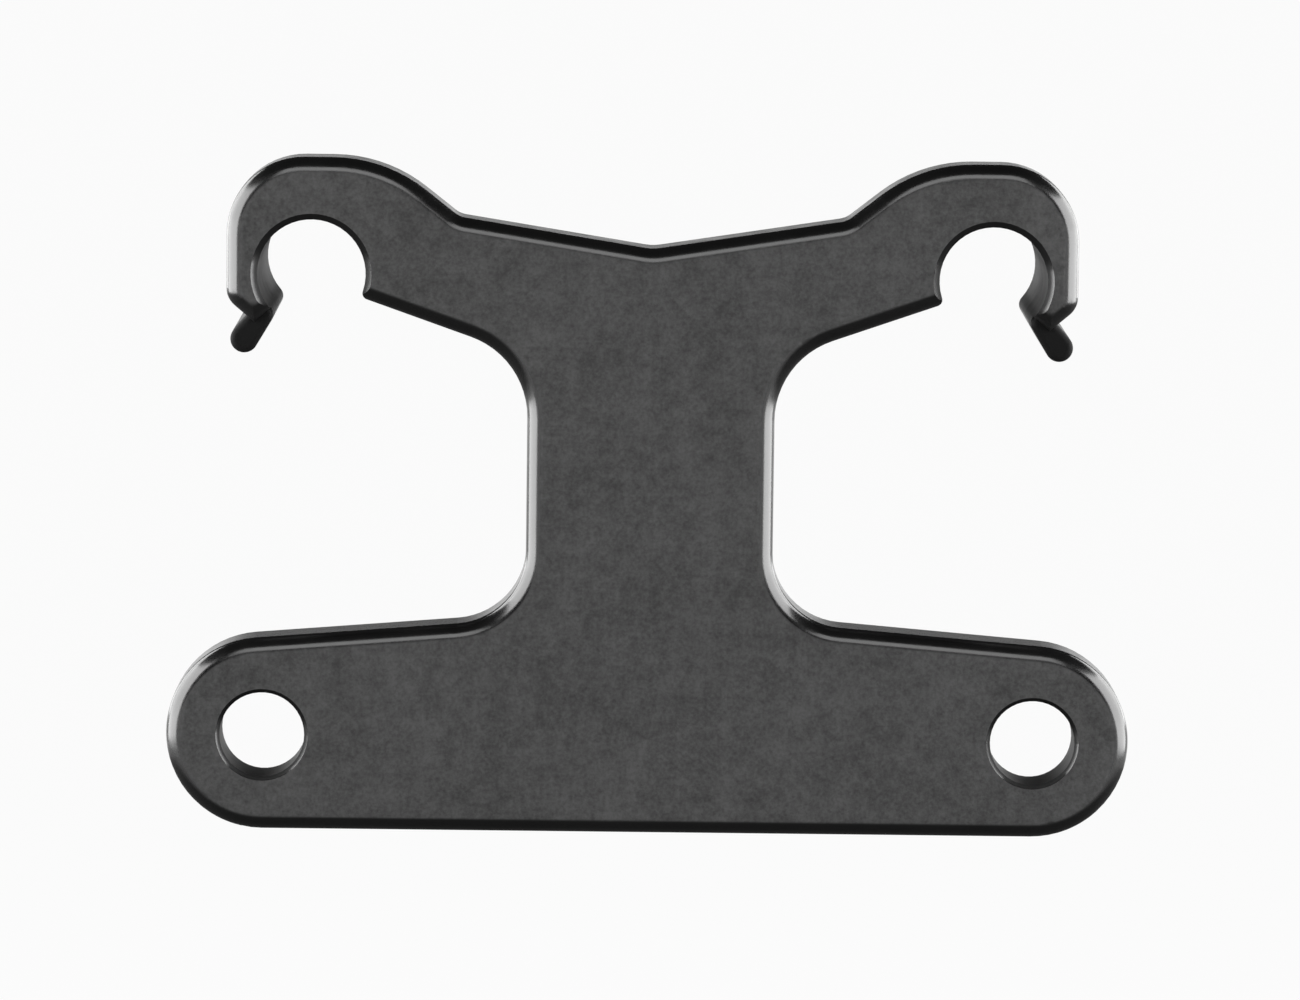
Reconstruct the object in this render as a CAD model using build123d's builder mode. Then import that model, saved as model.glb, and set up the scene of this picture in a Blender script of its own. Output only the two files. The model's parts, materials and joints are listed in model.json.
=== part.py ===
from build123d import *
import os
from math import cos, radians, sin, tan

# Rear light mount for a bicycle: one moulded bracket that snaps down over a pair of round rails
# and carries a rear light on two bolts.
# Origin: midway between the two bolt holes, on the outer face that the light sits against.
# X runs across the bicycle, Y from the outer face forwards along the rails, and Z up.

# Light bolts
bolt_spacing = 50.0  # between the two holes' centres
bolt_hole_diameter = 5.5  # clears an M5 screw
bolt_bevel = 0.25  # depth of each hole's bevel
boss_diameter = 10.5  # full-depth ring round each hole

# Rails that the clips fit
rail_diameter = 7.0
rail_spacing = 44.0  # between the two rails' axes
rail_height = 30.0  # rail axes above the bolt holes

# Plate
plate_depth = 4.0  # outer face to back
edge_radius = 1.1  # rounding round the outer face
bevel_angle = 45.0  # where bolts and rails enter the outer face

# Lower bar
bar_end_radius = 6.25
bar_slope = 4.7  # rise of its upper edge towards the neck, in degrees

# Neck
neck_width = 16.0
foot_radius = 4.8  # where the neck meets the bar
head_radius = 5.5  # where the neck meets the arms

# Arms
notch_drop = 5.7  # lowest point of the top edge, below the crests over the rails
notch_radius = 3.0
top_slope = 8.9  # rise of the top edge from the notch outwards, in degrees
shoulder_reach = 9.5  # from the rail axis inwards to where the top edge steepens
shoulder_slope = 38.0
shoulder_radius = 1.5
crest_radius = 9.7  # from the steep stretch to the level crest over the rail
underside_slope = 19.2

# Rail clips
clip_length = 16.0  # outer face to the clip's far end
clip_wall = 2.0
crown_thickness = 4.0  # plate above the rail
crown_radius = 5.0  # outer upper corner
heel_drop = 1.7  # outer wall's straight stretch below the rail axis
heel_radius = 1.5
outer_grip = 41.0  # wall's reach round the rail below its axis, in degrees
inner_grip = 26.0  # jaw's reach round the rail below its axis, in degrees
throat_wall = 1.4  # wall thickness where the lip springs from it
lip_tip_radius = 0.9
lip_reach = 4.35  # lip tip's centre outboard of the rail axis
lip_drop = 4.35  # lip tip's centre below the rail axis
jaw_radius = 0.5
jaw_heel_radius = 1.0
lip_end_radius = 0.4  # rounding of the lip's end beside the outer face
clip_end_bevel = 0.4  # at the clip's far end
rail_bevel = 0.4  # depth of the bevel where the rail enters the outer face

# Coring of the back
face_wall = 2.2  # left behind each pocket
rim_width = 1.8
rib_thickness = 1.6
pocket_radius = 0.8
beam_drop = 1.8  # pockets stop this far below the rail axes

# Webs that tie each clip to the plate's back, one beside it and one on top
web_thickness = 1.8
web_reach = 7.5  # along the arm, inwards from the clip
web_setback = 3.0  # from the clip's far end
web_step = 1.0  # the top web starts this far below the crest

# Places that follow from the sizes above, for the half on the +X side
bolt_x = bolt_spacing / 2
rail_x = rail_spacing / 2
channel_radius = rail_diameter / 2
clip_radius = channel_radius + clip_wall
neck_x = neck_width / 2
crest_z = rail_height + channel_radius + crown_thickness


def round_rail(radius, angle):
    """Point at a distance and an angle from the rail axis, seen from behind the bicycle."""
    return (
        rail_x + radius * cos(radians(angle)),
        rail_height + radius * sin(radians(angle)),
    )


def rise(run, slope):
    """Height gained over a run at a slope in degrees."""
    return run * tan(radians(slope))


# Corners of the outline
notch = (0, crest_z - notch_drop)
shoulder_x = rail_x - shoulder_reach
shoulder = (shoulder_x, notch[1] + rise(shoulder_x, top_slope))
crest_run = (crest_z - shoulder[1]) / tan(radians(shoulder_slope))
crest = (shoulder_x + crest_run, crest_z)
crown = (rail_x + clip_radius, crest_z)
heel = (rail_x + clip_radius, rail_height - heel_drop)
wall_end = round_rail(channel_radius + throat_wall, -outer_grip)
jaw = round_rail(channel_radius, 180 + inner_grip)


def underside(x):
    """Point on the arm's lower edge at a distance from the centre line."""
    return (x, jaw[1] - rise(jaw[0] - x, underside_slope))


mouth_outer = round_rail(channel_radius / 2, -outer_grip)
mouth_inner = underside(rail_x - channel_radius / 2)
neck_head = underside(neck_x)
bar_top = (
    bolt_x + bar_end_radius * sin(radians(bar_slope)),
    bar_end_radius * cos(radians(bar_slope)),
)
neck_foot = (neck_x, bar_top[1] + rise(bar_top[0] - neck_x, bar_slope))

# Outline of the plate, with each arm closed across its rail's lower side
with BuildSketch() as outline:
    with BuildLine():
        FilletPolyline(
            notch,
            shoulder,
            crest,
            crown,
            heel,
            wall_end,
            mouth_outer,
            mouth_inner,
            neck_head,
            neck_foot,
            bar_top,
            radius=(
                shoulder_radius,
                crest_radius,
                crown_radius,
                heel_radius,
                0,
                0,
                0,
                head_radius,
                foot_radius,
            ),
        )
        CenterArc((bolt_x, 0), bar_end_radius, start_angle=-90, arc_size=180 - bar_slope)
        Line((bolt_x, -bar_end_radius), (0, -bar_end_radius))
        mirror(about=Plane.YZ)
    make_face()
    fillet(outline.vertices().sort_by_distance(notch)[0], notch_radius)

# Lip of a clip: a finger that thickens from the throat to its round tip
lip_root_radius = throat_wall / 2
with BuildSketch() as lip:
    with Locations(round_rail(channel_radius + lip_root_radius, -outer_grip)):
        Circle(lip_root_radius)
    with Locations((rail_x + lip_reach, rail_height - lip_drop)):
        Circle(lip_tip_radius)
    make_hull()

# Cross-section of a clip's arch, from the throat round to the jaw
jaw_back_x = rail_x - clip_radius
with BuildSketch() as arch:
    with BuildLine():
        FilletPolyline(
            (rail_x + clip_radius, rail_height),
            heel,
            wall_end,
            (rail_x, rail_height),
            jaw,
            underside(jaw_back_x),
            (jaw_back_x, rail_height),
            radius=(heel_radius, 0, 0, 0, jaw_heel_radius),
        )
        CenterArc((rail_x, rail_height), clip_radius, start_angle=0, arc_size=180)
    make_face()
    with Locations((rail_x, rail_height)):
        Circle(channel_radius, mode=Mode.SUBTRACT)

# What rounding the jaw's corner takes off, for the rail to snap past
with BuildSketch() as eased_arch:
    add(arch.sketch)
    fillet(eased_arch.vertices().sort_by_distance(jaw)[0], jaw_radius)
with BuildSketch() as jaw_relief:
    add(arch.sketch)
    add(eased_arch.sketch, mode=Mode.SUBTRACT)
    mirror(about=Plane.YZ)

# Pockets in the back of the neck and bar, between the rim, the bosses and the ribs
beam_z = rail_height - beam_drop
with BuildSketch() as pockets:
    add(outline.sketch)
    offset(amount=-rim_width)
    with Locations((0, beam_z)):
        Rectangle(
            rail_spacing * 2,
            rail_height * 2,
            align=(Align.CENTER, Align.MIN),
            mode=Mode.SUBTRACT,
        )
    with GridLocations(bolt_spacing, 0, 2, 1):
        Circle(boss_diameter / 2, mode=Mode.SUBTRACT)
    Rectangle(bolt_spacing, rib_thickness, mode=Mode.SUBTRACT)
    Rectangle(rib_thickness, rail_height * 2, mode=Mode.SUBTRACT)
    offset(amount=-pocket_radius)
    offset(amount=pocket_radius)

outer_face = Plane.XZ
back_face = Plane.XZ.offset(-plate_depth)
clip_start = Plane.XZ.offset(-edge_radius)

# Lips, rounded at the end that faces the light
with BuildPart() as lips:
    with BuildSketch(clip_start):
        add(lip.sketch)
        mirror(about=Plane.YZ)
    extrude(amount=edge_radius - clip_length)
    fillet(lips.faces().group_by(Axis.Y)[0].edges(), lip_end_radius)

with BuildPart() as bracket:
    # Plate, rounded round its outer face
    with BuildSketch(outer_face):
        add(outline.sketch)
    extrude(amount=-plate_depth)
    fillet(bracket.faces().sort_by(Axis.Y)[0].outer_wire().edges(), edge_radius)

    # Pockets in the back
    with BuildSketch(back_face):
        add(pockets.sketch)
    extrude(amount=plate_depth - face_wall, mode=Mode.SUBTRACT)

    # Clips, with the rail channel cut through plate and clip together
    with BuildSketch(clip_start):
        add(arch.sketch)
        mirror(about=Plane.YZ)
    extrude(amount=edge_radius - clip_length)
    add(lips.part)
    with BuildSketch(outer_face):
        with Locations((-rail_x, rail_height), (rail_x, rail_height)):
            Circle(channel_radius)
    extrude(amount=-clip_length, mode=Mode.SUBTRACT)

    # Jaw corners eased and the clips' far ends bevelled
    with BuildSketch(outer_face):
        add(jaw_relief.sketch)
    extrude(amount=-clip_length, mode=Mode.SUBTRACT)
    chamfer(bracket.faces().group_by(Axis.Y)[-1].edges(), clip_end_bevel)

    # Webs beside the clips
    web_far_y = clip_length - web_setback
    with BuildSketch(Plane.XY.offset(rail_height)):
        with BuildLine():
            Polyline(
                (rail_x - clip_radius + clip_wall / 2, plate_depth),
                (rail_x - clip_radius - web_reach, plate_depth),
                (rail_x - clip_radius + clip_wall / 2, web_far_y),
                close=True,
            )
        make_face()
        mirror(about=Plane.YZ)
    extrude(amount=web_thickness / 2, both=True)

    # Webs on top of the clips
    for x in (-rail_x, rail_x):
        with BuildSketch(Plane.YZ.offset(x)):
            with BuildLine():
                Polyline(
                    (plate_depth, rail_height + clip_radius - clip_wall / 2),
                    (plate_depth, crest_z - web_step),
                    (web_far_y, rail_height + clip_radius - clip_wall / 2),
                    close=True,
                )
            make_face()
        extrude(amount=web_thickness / 2, both=True)

    # Bolt holes
    with BuildSketch(outer_face):
        with GridLocations(bolt_spacing, 0, 2, 1):
            Circle(bolt_hole_diameter / 2)
    extrude(amount=-plate_depth, mode=Mode.SUBTRACT)

    # Bevels where bolts and rails enter the outer face
    with BuildSketch(outer_face):
        with GridLocations(bolt_spacing, 0, 2, 1):
            Circle(bolt_hole_diameter / 2 + rise(bolt_bevel, bevel_angle))
    extrude(amount=-bolt_bevel, taper=bevel_angle, mode=Mode.SUBTRACT)
    with BuildSketch(outer_face):
        with Locations((-rail_x, rail_height), (rail_x, rail_height)):
            Circle(channel_radius + rise(rail_bevel, bevel_angle))
    extrude(amount=-rail_bevel, taper=bevel_angle, mode=Mode.SUBTRACT)

bracket.part.label = "bracket"

os.makedirs("parts", exist_ok=True)
export_step(bracket.part, "parts/bracket.step")
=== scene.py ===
"""Rear light mount: the moulded bracket dressed in black nylon, in a plain pale studio."""

from __future__ import annotations

import json
import logging
import math
from dataclasses import dataclass, fields, replace
from enum import Enum
from typing import Any, Mapping, Union

import bpy
from mathutils import Matrix, Vector

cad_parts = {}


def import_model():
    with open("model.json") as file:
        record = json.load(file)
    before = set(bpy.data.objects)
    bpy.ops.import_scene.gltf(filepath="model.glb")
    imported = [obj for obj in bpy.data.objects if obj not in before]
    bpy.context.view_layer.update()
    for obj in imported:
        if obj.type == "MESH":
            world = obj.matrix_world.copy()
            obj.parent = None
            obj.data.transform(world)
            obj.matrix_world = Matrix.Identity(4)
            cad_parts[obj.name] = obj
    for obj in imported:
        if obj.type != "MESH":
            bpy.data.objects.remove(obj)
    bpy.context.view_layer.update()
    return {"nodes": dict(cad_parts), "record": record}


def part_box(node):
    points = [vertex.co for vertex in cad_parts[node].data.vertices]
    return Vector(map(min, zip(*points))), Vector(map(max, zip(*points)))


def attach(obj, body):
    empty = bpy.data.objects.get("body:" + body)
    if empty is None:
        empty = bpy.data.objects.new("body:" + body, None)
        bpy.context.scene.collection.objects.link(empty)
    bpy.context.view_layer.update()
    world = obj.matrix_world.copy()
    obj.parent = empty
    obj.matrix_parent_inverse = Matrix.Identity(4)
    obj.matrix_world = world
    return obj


log = logging.getLogger("rear_light_mount")

MM = 0.001

Point = tuple[float, float, float]
Span = tuple[float, float]
Colour = tuple[float, float, float, float]
Paint = Union[Colour, bpy.types.NodeSocket]
Mount = Mapping[str, Any]


def grey(value: float) -> Colour:
    """A neutral grey of one brightness."""
    return (value, value, value, 1.0)


def towards_viewer(azimuth: float, elevation: float) -> Vector:
    """The direction from the object to someone who looks at it.

    Args:
        azimuth: Their angle round the object, 0 in front of its outer face and 90 on its right.
        elevation: Their angle above the horizon.

    Returns:
        A vector of length 1.
    """
    turn, rise = math.radians(azimuth), math.radians(elevation)
    return Vector(
        (
            math.sin(turn) * math.cos(rise),
            -math.cos(turn) * math.cos(rise),
            math.sin(rise),
        )
    )


class Signal:
    """A number carried by a socket of a node tree. Arithmetic on it adds the Math nodes."""

    def __init__(self, tree: Tree, socket: bpy.types.NodeSocket) -> None:
        """Wraps an output socket of a tree."""
        self.tree = tree
        self.socket = socket

    def _math(self, operation: str, *values: Number) -> Signal:
        """The result of one Math node, with the values in its sockets in order."""
        node = self.tree.add("ShaderNodeMath", {"operation": operation}, dict(enumerate(values)))
        return Signal(self.tree, node.outputs[0])

    def __add__(self, other: Number) -> Signal:
        """This plus the other."""
        return self._math("ADD", self, other)

    def __radd__(self, other: Number) -> Signal:
        """The other plus this."""
        return self._math("ADD", other, self)

    def __sub__(self, other: Number) -> Signal:
        """This less the other."""
        return self._math("SUBTRACT", self, other)

    def __rsub__(self, other: Number) -> Signal:
        """The other less this."""
        return self._math("SUBTRACT", other, self)

    def __mul__(self, other: Number) -> Signal:
        """This times the other."""
        return self._math("MULTIPLY", self, other)

    def __rmul__(self, other: Number) -> Signal:
        """The other times this."""
        return self._math("MULTIPLY", other, self)

    def __neg__(self) -> Signal:
        """This with its sign turned."""
        return self._math("MULTIPLY", self, -1.0)

    def size(self) -> Signal:
        """This without its sign."""
        return self._math("ABSOLUTE", self)

    def root(self) -> Signal:
        """The square root of this."""
        return self._math("SQRT", self)

    def highest(self, other: Number) -> Signal:
        """The larger of this and the other."""
        return self._math("MAXIMUM", self, other)

    def ease(self, low: float, high: float) -> Signal:
        """A smooth step of this number.

        Args:
            low: Where the step leaves 0.
            high: Where it reaches 1.

        Returns:
            A number from 0 to 1.
        """
        node = self.tree.add(
            "ShaderNodeMapRange",
            {"interpolation_type": "SMOOTHSTEP", "clamp": True},
            {"Value": self, "From Min": low, "From Max": high},
        )
        return Signal(self.tree, node.outputs[0])


Number = Union[Signal, float]


@dataclass(frozen=True)
class Noise:
    """One noise pattern: the size of its grains, its finer layers and how strong those are."""

    size: float
    detail: float = 2.0
    rough: float = 0.5


class Tree:
    """A node tree that is written as Python expressions."""

    def __init__(self, node_tree: bpy.types.NodeTree) -> None:
        """Empties a node tree and takes it over."""
        self.node_tree = node_tree
        node_tree.nodes.clear()

    def add(
        self,
        kind: str,
        settings: Mapping[str, Any] | None = None,
        inputs: Mapping[str | int, Any] | None = None,
    ) -> bpy.types.Node:
        """Adds any node.

        Args:
            kind: The node's type.
            settings: Its properties, which are set first.
            inputs: Values or links for its sockets, by name or number.

        Returns:
            The new node.
        """
        node = self.node_tree.nodes.new(kind)
        for name, value in (settings or {}).items():
            setattr(node, name, value)
        for name, value in (inputs or {}).items():
            if isinstance(value, Signal):
                value = value.socket
            if isinstance(value, bpy.types.NodeSocket):
                self.node_tree.links.new(value, node.inputs[name])
            else:
                node.inputs[name].default_value = value
        return node

    def number(self, node: bpy.types.Node, output: str | int = 0) -> Signal:
        """One output of a node, as a number to reckon with."""
        return Signal(self, node.outputs[output])

    def noise(self, place: bpy.types.NodeSocket, pattern: Noise) -> Signal:
        """Adds noise with grains of a real size.

        Args:
            place: The vector that it is laid out on, in metres.
            pattern: The noise's grain and layers.

        Returns:
            A number round 0.5.
        """
        node = self.add(
            "ShaderNodeTexNoise",
            {"noise_dimensions": "3D"},
            {
                "Vector": place,
                "Scale": 1 / pattern.size,
                "Detail": pattern.detail,
                "Roughness": pattern.rough,
            },
        )
        return self.number(node, "Fac")

    def blend(self, share: Number, low: Paint, high: Paint) -> bpy.types.NodeSocket:
        """Mixes two colours.

        Args:
            share: How much of the second colour there is.
            low: The first colour, or a link to one.
            high: The second colour, or a link to one.

        Returns:
            The mixed colour.
        """
        node = self.add(
            "ShaderNodeMix",
            {"data_type": "RGBA", "clamp_factor": True},
            {0: share, 6: low, 7: high},
        )
        return node.outputs[2]

    def mix(
        self, share: Number, low: bpy.types.NodeSocket, high: bpy.types.NodeSocket
    ) -> bpy.types.NodeSocket:
        """Two shaders mixed by the share of the second."""
        return self.add("ShaderNodeMixShader", {}, {0: share, 1: low, 2: high}).outputs[0]


@dataclass(frozen=True)
class Weights:
    """How much each of the plastic's noise patterns counts in a sum."""

    cloud: float = 0.0
    mottle: float = 0.0
    grain: float = 0.0
    pits: float = 0.0


@dataclass(frozen=True)
class Patterns:
    """The plastic's noise patterns from the widest to the finest, each round 0."""

    cloud: Signal
    mottle: Signal
    grain: Signal
    pits: Signal

    def total(self, weights: Weights) -> Signal:
        """Adds the patterns up.

        Args:
            weights: How much each counts. One that counts for nothing is left out.

        Returns:
            The sum, round 0.
        """
        terms = [
            getattr(self, field.name) * getattr(weights, field.name)
            for field in fields(Weights)
            if getattr(weights, field.name)
        ]
        return sum(terms[1:], terms[0])


@dataclass(frozen=True)
class Tone:
    """A grey that drifts over a surface, by a share of its mean to either side."""

    mean: float
    swing: float
    drift: Weights

    def build(self, tree: Tree, patterns: Patterns) -> bpy.types.NodeSocket:
        """The grey as a colour in the tree, which follows the noise."""
        dark, light = (grey(self.mean * (1 + side * self.swing)) for side in (-1, 1))
        return tree.blend(patterns.total(self.drift) + 0.5, dark, light)


@dataclass(frozen=True)
class Bore:
    """A round bore from the outer face backwards, the same on the left and the right.

    Its finish reaches past its radius: it is whole up to wall, and has faded out at mouth, past
    the bevel.
    """

    x: float
    z: float
    radius: float
    wall: float
    mouth: float

    @classmethod
    def of_bolts(cls, mount: Mount) -> Bore:
        """The bolt holes, from the record's bolt pattern."""
        sizes = mount["dims"]
        x, radius = sizes["spacing_x_mm"] / 2 * MM, sizes["hole_r_mm"] * MM
        return cls(x, mount["pos_m"][2], radius, wall=0.075 * MM, mouth=0.3 * MM)

    @classmethod
    def of_clip(cls, mount: Mount) -> Bore:
        """The clips' channels, from the record's right clip."""
        x, _, z = mount["pos_m"]
        return cls(x, z, mount["dims"]["r_mm"] * MM, wall=0.1125 * MM, mouth=0.45 * MM)

    def mark(self, across: Signal, up: Signal) -> Signal:
        """Marks the bore's wall, and the bevel round its mouth on both sides.

        Args:
            across: The place's X.
            up: The place's Z.

        Returns:
            1 at the wall, falling to 0 past the bevel.
        """
        side = across.size() - self.x
        rise = up - self.z
        distance = (side * side + rise * rise).root()
        return 1.0 - distance.ease(self.radius + self.wall, self.radius + self.mouth)


@dataclass(frozen=True)
class Zones:
    """Where each kind of surface lies, as numbers from 0 to 1."""

    face: Signal
    bore: Signal
    back: Signal
    # The lips and undersides, darkened as painted shade
    core: Signal


@dataclass(frozen=True)
class MouldedNylon:
    """Black moulded plastic, in the finishes that the parts of a mould leave.

    The outer face is spark-eroded, its rounded edges are polished and deep black, partly as
    painted shade that darkens the top and bottom edges, and the back is satin. The clips behind
    the plate, made by the same half of the mould as the back, are satin too. The bolt holes and
    the clips' channels are textured but deep black. The clips' lips and the undersides, up to 4 mm
    behind the outer face, are a dull deep black, which is painted shade: they reflect little so
    that they look shaded.
    """

    bolt_hole: Bore
    channel: Bore
    name: str = "moulded_nylon"

    cloud: Noise = Noise(size=6.0 * MM)
    mottle: Noise = Noise(size=1.5 * MM)
    grain: Noise = Noise(size=0.60 * MM, rough=0.6)
    pits: Noise = Noise(size=0.24 * MM, rough=0.65)
    pit_depth: float = 0.016 * MM

    face_tone: Tone = Tone(
        mean=0.0385, swing=0.5, drift=Weights(cloud=0.8, mottle=0.9, grain=1.2, pits=1.4)
    )
    # Deep black, partly the polished finish and partly painted shade that darkens the top and
    # bottom edges
    edge_tone: Tone = Tone(mean=0.0040, swing=0.2, drift=Weights(cloud=2.0))
    back_tone: Tone = Tone(mean=0.040, swing=0.3, drift=Weights(cloud=1.5, grain=1.5))

    face_roughness: float = 0.58
    edge_roughness: float = 0.20
    back_roughness: float = 0.40
    dull_wear: Weights = Weights(mottle=0.15)
    edge_wear: Weights = Weights(mottle=0.10, grain=0.06)

    dull_gloss: float = 0.36
    edge_gloss: float = 0.90
    # The weak reflection that makes the lips and undersides look shaded: painted shade
    core_gloss: float = 0.10

    dull_relief: Weights = Weights(grain=1.2, pits=1.0)
    edge_relief: Weights = Weights(grain=0.10, pits=0.03)
    core_relief: Weights = Weights(pits=0.5)
    back_smoothing: float = 0.7

    # How squarely a surface faces outwards or backwards, and how far it faces down (undersides:
    # painted shade)
    flat: Span = (0.95, 0.9995)
    downward: Span = (0.10, 0.30)

    # Where the face ends and the mould parts, behind the outer face
    face_end: Span = (0.5 * MM, 1.0 * MM)
    parting: Span = (4.0 * MM, 4.1 * MM)

    # Where the lips lie, outboard of the channels' axes and below them; they take the painted
    # shade
    lip_side: Span = (0.0, 0.5 * MM)
    lip_top: Span = (1.7 * MM, 2.2 * MM)
    lip_foot: Span = (10.0 * MM, 20.0 * MM)

    def build(self) -> bpy.types.Material:
        """Makes the material.

        Returns:
            The material.
        """
        material = bpy.data.materials.new(self.name)
        material.use_nodes = True
        tree = Tree(material.node_tree)
        where = tree.add("ShaderNodeTexCoord")
        zones = self._zones(tree, where)
        patterns = self._patterns(tree, where)
        face_tone, edge_tone, back_tone = (
            tone.build(tree, patterns) for tone in (self.face_tone, self.edge_tone, self.back_tone)
        )
        # The polished edges, deep black partly as painted shade on the top and bottom edges
        edges = self._shader(
            tree,
            colour=edge_tone,
            roughness=self.edge_roughness + patterns.total(self.edge_wear),
            gloss=self.edge_gloss,
            relief=patterns.total(self.edge_relief),
        )
        dull = self._shader(
            tree,
            colour=tree.blend(zones.back, tree.blend(zones.bore, face_tone, edge_tone), back_tone),
            roughness=self.face_roughness
            + zones.back * (self.back_roughness - self.face_roughness)
            + patterns.total(self.dull_wear),
            gloss=self.dull_gloss,
            relief=patterns.total(self.dull_relief) * (1.0 - zones.back * self.back_smoothing),
        )
        # The dull deep black of the lips and undersides, which is painted shade
        painted_shades = self._shader(
            tree,
            colour=edge_tone,
            roughness=self.face_roughness + patterns.total(self.dull_wear),
            gloss=self.core_gloss,
            relief=patterns.total(self.core_relief),
        )
        textured = tree.mix(zones.face.highest(zones.bore).highest(zones.back), edges, dull)
        surface = tree.mix(zones.core, textured, painted_shades)
        tree.add("ShaderNodeOutputMaterial", {}, {"Surface": surface})
        return material

    def _zones(self, tree: Tree, where: bpy.types.Node) -> Zones:
        """Marks where each kind of surface lies.

        Args:
            tree: The tree that the marks go into.
            where: The node that gives the place and the normal.

        Returns:
            The marks.
        """
        normal = tree.add("ShaderNodeSeparateXYZ", {}, {0: where.outputs["Normal"]})
        facing, rising = (tree.number(normal, axis) for axis in "YZ")
        place = tree.add("ShaderNodeSeparateXYZ", {}, {0: where.outputs["Object"]})
        across, depth, up = (tree.number(place, axis) for axis in "XYZ")

        face = (-facing).ease(*self.flat) * (1.0 - depth.ease(*self.face_end))
        bore = self.bolt_hole.mark(across, up).highest(self.channel.mark(across, up))
        behind = depth.ease(*self.parting)
        back = facing.ease(*self.flat).highest(behind) * (1.0 - bore)
        outboard = (across.size() - self.channel.x).ease(*self.lip_side)
        below = self.channel.z - up
        lip = outboard * below.ease(*self.lip_top) * (1.0 - below.ease(*self.lip_foot))
        # Lips and undersides, in front of the parting, take the dull deep black as painted shade
        core = lip.highest((-rising).ease(*self.downward)) * (1.0 - back)
        return Zones(face, bore, back, core)

    def _patterns(self, tree: Tree, where: bpy.types.Node) -> Patterns:
        """The noise patterns, laid over the plastic."""
        kinds = (self.cloud, self.mottle, self.grain, self.pits)
        return Patterns(*(tree.noise(where.outputs["Object"], kind) - 0.5 for kind in kinds))

    def _shader(
        self,
        tree: Tree,
        colour: bpy.types.NodeSocket,
        roughness: Signal,
        gloss: float,
        relief: Signal,
    ) -> bpy.types.NodeSocket:
        """Adds the plastic of one kind of surface.

        Args:
            tree: The tree that it goes into.
            colour: Its colour.
            roughness: Its roughness.
            gloss: The strength of its reflection.
            relief: The height of its fine relief, 1 being one pit's depth.

        Returns:
            The shader's output.
        """
        bump = tree.add(
            "ShaderNodeBump", {}, {"Strength": 1.0, "Distance": self.pit_depth, "Height": relief}
        )
        shader = tree.add(
            "ShaderNodeBsdfPrincipled",
            {},
            {
                "Base Color": colour,
                "Roughness": roughness,
                "Specular IOR Level": gloss,
                "Normal": bump.outputs[0],
            },
        )
        return shader.outputs[0]


class Ray(Enum):
    """The kinds of ray that see the floor's pale colour without its shading."""

    CAMERA = "Is Camera Ray"
    GLOSSY = "Is Glossy Ray"
    TRANSMISSION = "Is Transmission Ray"


@dataclass(frozen=True)
class PaleFloorPaint:
    """Plain pale paint for the studio floor.

    To the eye it stays pale: a glow covers the paint's shading, faintly under the object, where
    its shadow falls, and nearly all of it further out. The faint glow is painted shade: the floor
    round the object is darker than further out, also outside its shadow.
    """

    name: str = "pale_floor"
    colour: float = 0.24
    brush: Noise = Noise(size=40.0 * MM, detail=3.0)
    brush_swing: float = 0.01
    # The glow's rise from near the object outwards paints shade on the floor round the object
    near_glow: float = 0.12
    far_glow: float = 0.96
    glow_rise: Span = (60.0 * MM, 260.0 * MM)

    def build(self) -> bpy.types.Material:
        """Makes the material.

        Returns:
            The material.
        """
        material = bpy.data.materials.new(self.name)
        material.use_nodes = True
        tree = Tree(material.node_tree)
        place = tree.add("ShaderNodeTexCoord").outputs["Object"]
        dark, light = grey(self.colour * (1 - self.brush_swing)), grey(self.colour)
        tone = tree.blend(tree.noise(place, self.brush), dark, light)
        paint = tree.add("ShaderNodeBsdfDiffuse", {}, {"Color": tone})
        glow = tree.add("ShaderNodeEmission", {}, {"Color": grey(1.0), "Strength": 1.0})
        length = tree.add("ShaderNodeVectorMath", {"operation": "LENGTH"}, {0: place})
        # Less glow near the object: painted shade on the floor round it
        away = tree.number(length, "Value").ease(*self.glow_rise)
        share = self._seen(tree) * (self.near_glow + away * (self.far_glow - self.near_glow))
        surface = tree.mix(share, paint.outputs[0], glow.outputs[0])
        tree.add("ShaderNodeOutputMaterial", {}, {"Surface": surface})
        return material

    @staticmethod
    def _seen(tree: Tree) -> Signal:
        """Marks the rays that see the glow.

        Args:
            tree: The tree that the mark goes into.

        Returns:
            1 for a ray of one of those kinds, otherwise 0.
        """
        path = tree.add("ShaderNodeLightPath")
        seen = tree.number(path, Ray.CAMERA.value)
        for ray in (Ray.GLOSSY, Ray.TRANSMISSION):
            seen = seen.highest(tree.number(path, ray.value))
        return seen


@dataclass
class Bracket:
    """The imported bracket, which keeps its shape and takes its finish."""

    shell: bpy.types.Object
    finish: bpy.types.Material

    def dress(self) -> None:
        """Gives the whole bracket its finish."""
        self.shell.data.materials.clear()
        self.shell.data.materials.append(self.finish)


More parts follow.
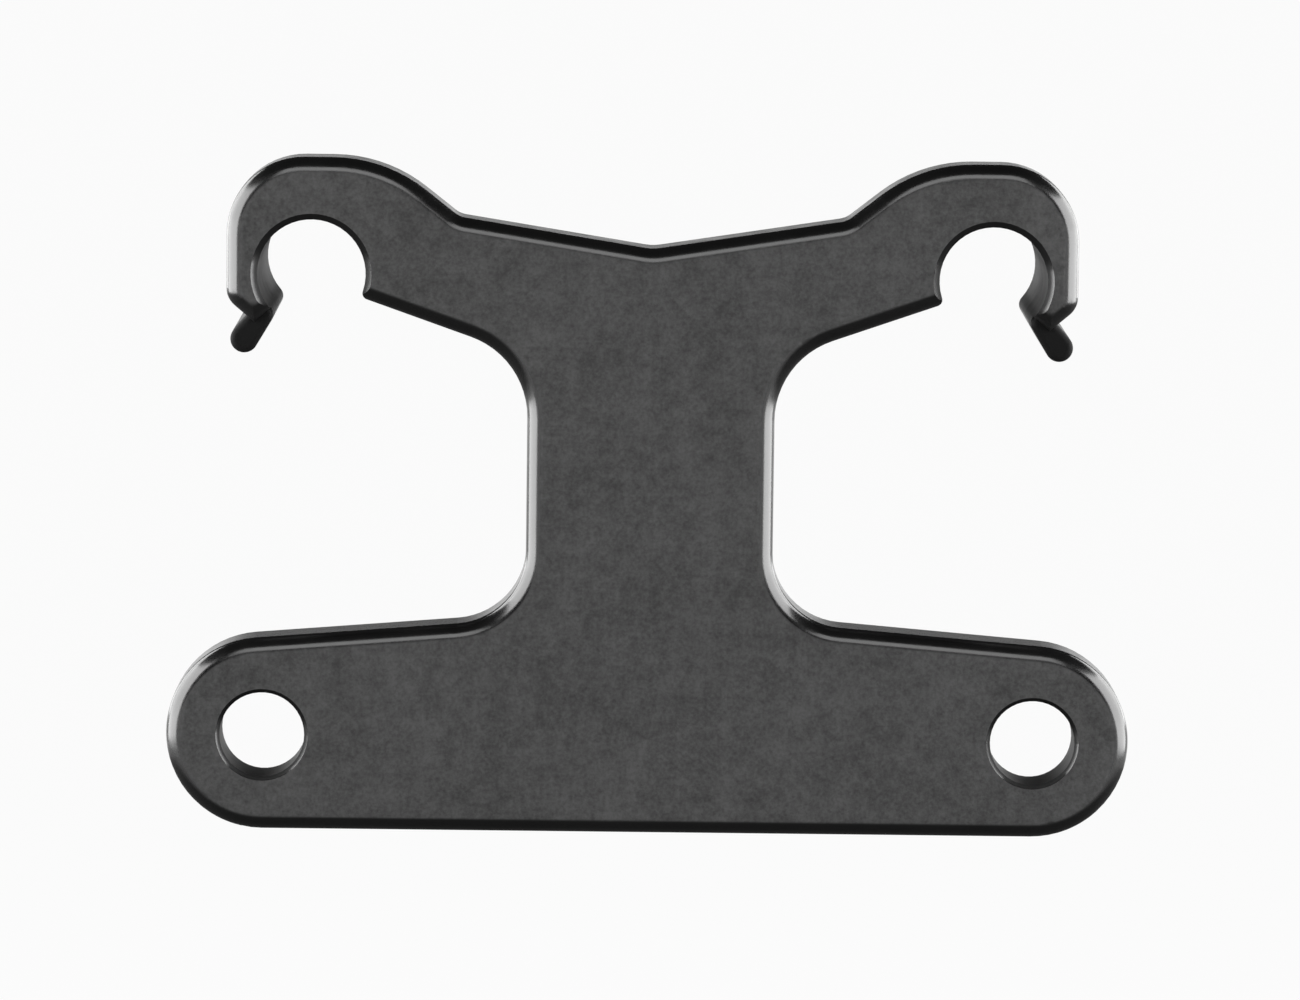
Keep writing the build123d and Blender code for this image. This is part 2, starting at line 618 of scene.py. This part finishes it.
@dataclass
class EjectorMarks:
    """The low round marks that the mould's ejector pins left in the pockets of the back.

    Each is sunk by its root into a pocket's floor.
    """

    finish: bpy.types.Material
    name: str = "ejector_marks"
    radius: float = 1.25 * MM
    bevel: float = 0.05 * MM
    height: float = 0.07 * MM
    root: float = 0.05 * MM
    sides: int = 48
    floor_y: float = 2.2 * MM
    neck_spacing: Span = (7.0 * MM, 10.0 * MM)
    neck_z: float = 17.0 * MM
    bar_spacing: Span = (29.0 * MM, 5.4 * MM)
    bar_z: float = 0.05 * MM
    turn: Point = (-math.pi / 2, 0.0, 0.0)

    def build(self) -> bpy.types.Object:
        """Makes the marks as one piece that rides the bracket.

        Returns:
            The piece.
        """
        marks = bpy.data.objects.new(self.name, bpy.data.meshes.new(f"{self.name}_blank"))
        bpy.context.scene.collection.objects.link(marks)
        group, sizes = self._tree()
        modifier = marks.modifiers.new("marks", "NODES")
        modifier.node_group = group
        for identifier, value in sizes.items():
            modifier[identifier] = value
        graph = bpy.context.evaluated_depsgraph_get()
        mesh = bpy.data.meshes.new_from_object(marks.evaluated_get(graph), depsgraph=graph)
        mesh.name = self.name
        marks.modifiers.clear()
        marks.data = mesh
        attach(marks, "root")
        return marks

    def _tree(self) -> tuple[bpy.types.NodeTree, dict[str, float]]:
        """Builds the Geometry Nodes tree that sets a mark at each corner of two grids.

        Returns:
            The tree, and the value of each of its inputs by the input's identifier.
        """
        group = bpy.data.node_groups.new(self.name, "GeometryNodeTree")
        tree = Tree(group)
        named = {"Radius": self.radius, "Bevel": self.bevel, "Height": self.height + self.root}
        sizes: dict[str, float] = {}
        for name, value in named.items():
            socket = group.interface.new_socket(
                name, in_out="INPUT", socket_type="NodeSocketFloat"
            )
            sizes[socket.identifier] = value
        group.interface.new_socket(
            "Geometry", in_out="OUTPUT", socket_type="NodeSocketGeometry"
        )
        given = tree.add("NodeGroupInput")
        radius = tree.number(given, "Radius")
        mark = tree.add(
            "GeometryNodeMeshCone",
            {},
            {
                "Vertices": self.sides,
                "Radius Top": radius - tree.number(given, "Bevel"),
                "Radius Bottom": radius,
                "Depth": given.outputs["Height"],
            },
        )
        places = tree.add("GeometryNodeJoinGeometry")
        for spacing, z in ((self.neck_spacing, self.neck_z), (self.bar_spacing, self.bar_z)):
            group.links.new(self._corner_points(tree, spacing, z), places.inputs[0])
        spread = tree.add(
            "GeometryNodeInstanceOnPoints",
            {},
            {"Points": places.outputs[0], "Instance": mark.outputs["Mesh"], "Rotation": self.turn},
        )
        real = tree.add("GeometryNodeRealizeInstances", {}, {0: spread.outputs[0]})
        dressed = tree.add(
            "GeometryNodeSetMaterial", {}, {"Geometry": real.outputs[0], "Material": self.finish}
        )
        tree.add("NodeGroupOutput", {}, {0: dressed.outputs[0]})
        return group, sizes

    def _corner_points(self, tree: Tree, spacing: Span, z: float) -> bpy.types.NodeSocket:
        """Adds the corners of an upright rectangle, sunk into the pockets' floors.

        Args:
            tree: The tree that they go into.
            spacing: The rectangle's width and height.
            z: The height of its middle.

        Returns:
            The points.
        """
        width, height = spacing
        grid = tree.add(
            "GeometryNodeMeshGrid",
            {},
            {"Size X": width, "Size Y": height, "Vertices X": 2, "Vertices Y": 2},
        )
        stood = tree.add(
            "GeometryNodeTransform",
            {},
            {
                "Geometry": grid.outputs["Mesh"],
                "Translation": (0.0, self.floor_y - self.root, z),
                "Rotation": self.turn,
            },
        )
        return stood.outputs[0]


@dataclass(frozen=True)
class Softbox:
    """One rectangular studio lamp, turned towards the origin, with its angles in degrees."""

    name: str
    azimuth: float
    elevation: float
    distance: float
    width: float
    height: float
    brightness: float

    def mirrored(self) -> Softbox:
        """The same lamp on the right instead of the left."""
        return replace(self, name=self.name.replace("left", "right"), azimuth=-self.azimuth)

    def build(self) -> bpy.types.Object:
        """Makes the lamp and puts it in the scene.

        Returns:
            The lamp.
        """
        data = bpy.data.lights.new(self.name, "AREA")
        data.shape = "RECTANGLE"
        data.size = self.width
        data.size_y = self.height
        data.energy = self.brightness * math.pi * self.width * self.height
        lamp = bpy.data.objects.new(self.name, data)
        bpy.context.scene.collection.objects.link(lamp)
        back = towards_viewer(self.azimuth, self.elevation)
        lamp.location = back * self.distance
        lamp.rotation_euler = (-back).to_track_quat("-Z", "Y").to_euler()
        lamp.visible_camera = False
        return lamp


@dataclass
class Studio:
    """The floor, the surrounding light and the lamps."""

    foot: float
    floor_drop: float = 60.0 * MM
    floor_size: float = 6.0
    horizon: float = 0.96
    zenith: float = 0.02
    sky_step: Span = (0.06, 0.13)
    side_lamp: Softbox = Softbox(
        name="left_softbox",
        azimuth=-82.0,
        elevation=13.0,
        distance=0.25,
        width=0.34,
        height=0.235,
        brightness=5.8,
    )
    rear_lamp: Softbox = Softbox(
        name="left_rear_softbox",
        azimuth=-132.0,
        elevation=18.0,
        distance=0.30,
        width=0.15,
        height=0.20,
        brightness=3.9,
    )
    front_lamp: Softbox = Softbox(
        name="front_softbox",
        azimuth=0.0,
        elevation=40.0,
        distance=0.50,
        width=0.36,
        height=0.22,
        brightness=2.45,
    )

    def build(self) -> None:
        """Makes the whole studio."""
        self._build_floor()
        self._build_world()
        for lamp in (
            self.side_lamp,
            self.side_lamp.mirrored(),
            self.rear_lamp,
            self.rear_lamp.mirrored(),
            self.front_lamp,
        ):
            lamp.build()
            log.info("lamp %s at azimuth %.0f", lamp.name, lamp.azimuth)

    def _build_floor(self) -> None:
        """Lays the floor below the object."""
        half, height = self.floor_size / 2, self.foot - self.floor_drop
        outline = ((-half, -half), (half, -half), (half, half), (-half, half))
        mesh = bpy.data.meshes.new("floor")
        mesh.from_pydata([(x, y, height) for x, y in outline], [], [(0, 1, 2, 3)])
        mesh.materials.append(PaleFloorPaint().build())
        floor = bpy.data.objects.new("floor", mesh)
        bpy.context.scene.collection.objects.link(floor)

    def _build_world(self) -> None:
        """Surrounds the object with light that is pale at the horizon and dim overhead."""
        world = bpy.data.worlds.new("studio")
        bpy.context.scene.world = world
        world.use_nodes = True
        tree = Tree(world.node_tree)
        direction = tree.add("ShaderNodeTexCoord").outputs["Generated"]
        height = tree.number(tree.add("ShaderNodeSeparateXYZ", {}, {0: direction}), "Z")
        tone = tree.blend(height.ease(*self.sky_step), grey(self.horizon), grey(self.zenith))
        sky = tree.add("ShaderNodeBackground", {}, {"Color": tone, "Strength": 1.0})
        tree.add("ShaderNodeOutputWorld", {}, {"Surface": sky.outputs[0]})


@dataclass
class PhotoCamera:
    """A camera that looks from where the photograph was taken."""

    aim: Point
    name: str = "photo_camera"
    azimuth: float = -0.3
    elevation: float = 6.5
    roll: float = 0.7
    distance: float = 0.480
    view_width: float = 0.084
    sensor: float = 36.0
    nearest: float = 0.01
    farthest: float = 10.0

    def build(self) -> bpy.types.Object:
        """Makes the camera and hands it to the scene.

        Returns:
            The camera.
        """
        data = bpy.data.cameras.new(self.name)
        data.sensor_width = self.sensor
        data.lens = self.sensor * self.distance / self.view_width
        data.clip_start = self.nearest
        data.clip_end = self.farthest
        camera = bpy.data.objects.new(self.name, data)
        bpy.context.scene.collection.objects.link(camera)
        back = towards_viewer(self.azimuth, self.elevation)
        level = (-back).to_track_quat("-Z", "Y")
        tilt = Matrix.Rotation(math.radians(self.roll), 4, "Z").to_quaternion()
        camera.rotation_mode = "QUATERNION"
        camera.rotation_quaternion = level @ tilt
        camera.location = Vector(self.aim) + back * self.distance
        bpy.context.scene.camera = camera
        return camera


def main() -> None:
    """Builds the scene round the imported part."""
    logging.basicConfig(level=logging.INFO, format="%(name)s: %(message)s")
    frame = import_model()
    low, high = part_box("bracket")
    mounts = {mount["name"]: mount for mount in frame["record"]["mounts"]}

    finish = MouldedNylon(
        bolt_hole=Bore.of_bolts(mounts["light_bolts"]),
        channel=Bore.of_clip(mounts["right_rail_clip"]),
    ).build()
    bracket = Bracket(frame["nodes"]["bracket"], finish)
    bracket.dress()
    log.info("bracket dressed: %d faces", len(bracket.shell.data.polygons))
    marks = EjectorMarks(finish).build()
    log.info("ejector marks: %d faces", len(marks.data.polygons))

    Studio(foot=low.z).build()
    camera = PhotoCamera(aim=(0.0, 0.0, (low.z + high.z) / 2)).build()
    log.info("camera: lens of %.0f mm", camera.data.lens)
    bpy.context.scene.view_settings.view_transform = "Standard"


if __name__ == "__main__":
    main()
